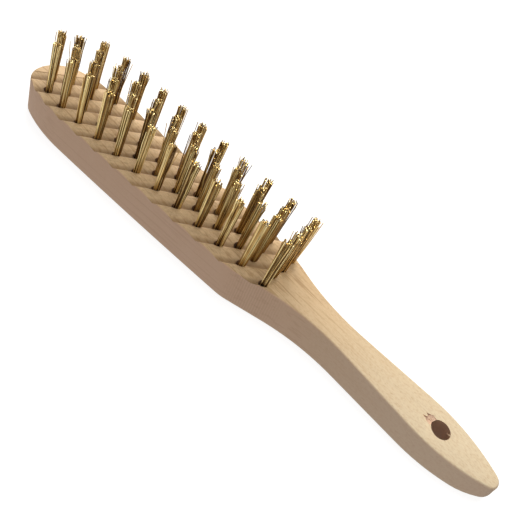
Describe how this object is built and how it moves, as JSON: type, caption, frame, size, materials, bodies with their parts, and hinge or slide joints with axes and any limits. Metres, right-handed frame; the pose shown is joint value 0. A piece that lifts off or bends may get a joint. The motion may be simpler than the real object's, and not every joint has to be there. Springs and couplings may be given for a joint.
{
  "type": "wire brush",
  "caption": "Hand wire brush with a one-piece beech block and handle, staggered brass wire tufts and a hanging hole.",
  "frame": {"origin": "middle of the flat back, below the middle of the overall box", "axes": "+X from the toe towards the end of the handle, +Y across the head, +Z from the back towards the wire tips"},
  "size_m": [0.2816, 0.0392, 0.0442],
  "materials": {
    "beech": "sanded, raw",
    "brass_wire": "drawn wire",
    "anchor_steel": "bright flat wire"
  },
  "bodies": {
    "root": {"block": "beech", "tuft_a01": "brass_wire", "tuft_a02": "brass_wire", "tuft_a03": "brass_wire", "tuft_a04": "brass_wire", "tuft_a05": "brass_wire", "tuft_a06": "brass_wire", "tuft_a07": "brass_wire", "tuft_a08": "brass_wire", "tuft_a09": "brass_wire", "tuft_a10": "brass_wire", "tuft_a11": "brass_wire", "tuft_a12": "brass_wire", "anchors_row_a": "anchor_steel", "tuft_b01": "brass_wire", "tuft_b02": "brass_wire", "tuft_b03": "brass_wire", "tuft_b04": "brass_wire", "tuft_b05": "brass_wire", "tuft_b06": "brass_wire", "tuft_b07": "brass_wire", "tuft_b08": "brass_wire", "tuft_b09": "brass_wire", "tuft_b10": "brass_wire", "tuft_b11": "brass_wire", "tuft_b12": "brass_wire", "tuft_b13": "brass_wire", "anchors_row_b": "anchor_steel", "tuft_c01": "brass_wire", "tuft_c02": "brass_wire", "tuft_c03": "brass_wire", "tuft_c04": "brass_wire", "tuft_c05": "brass_wire", "tuft_c06": "brass_wire", "tuft_c07": "brass_wire", "tuft_c08": "brass_wire", "tuft_c09": "brass_wire", "tuft_c10": "brass_wire", "tuft_c11": "brass_wire", "tuft_c12": "brass_wire", "anchors_row_c": "anchor_steel", "tuft_d01": "brass_wire", "tuft_d02": "brass_wire", "tuft_d03": "brass_wire", "tuft_d04": "brass_wire", "tuft_d05": "brass_wire", "tuft_d06": "brass_wire", "tuft_d07": "brass_wire", "tuft_d08": "brass_wire", "tuft_d09": "brass_wire", "tuft_d10": "brass_wire", "tuft_d11": "brass_wire", "anchors_row_d": "anchor_steel"}
  },
  "joints": []
}
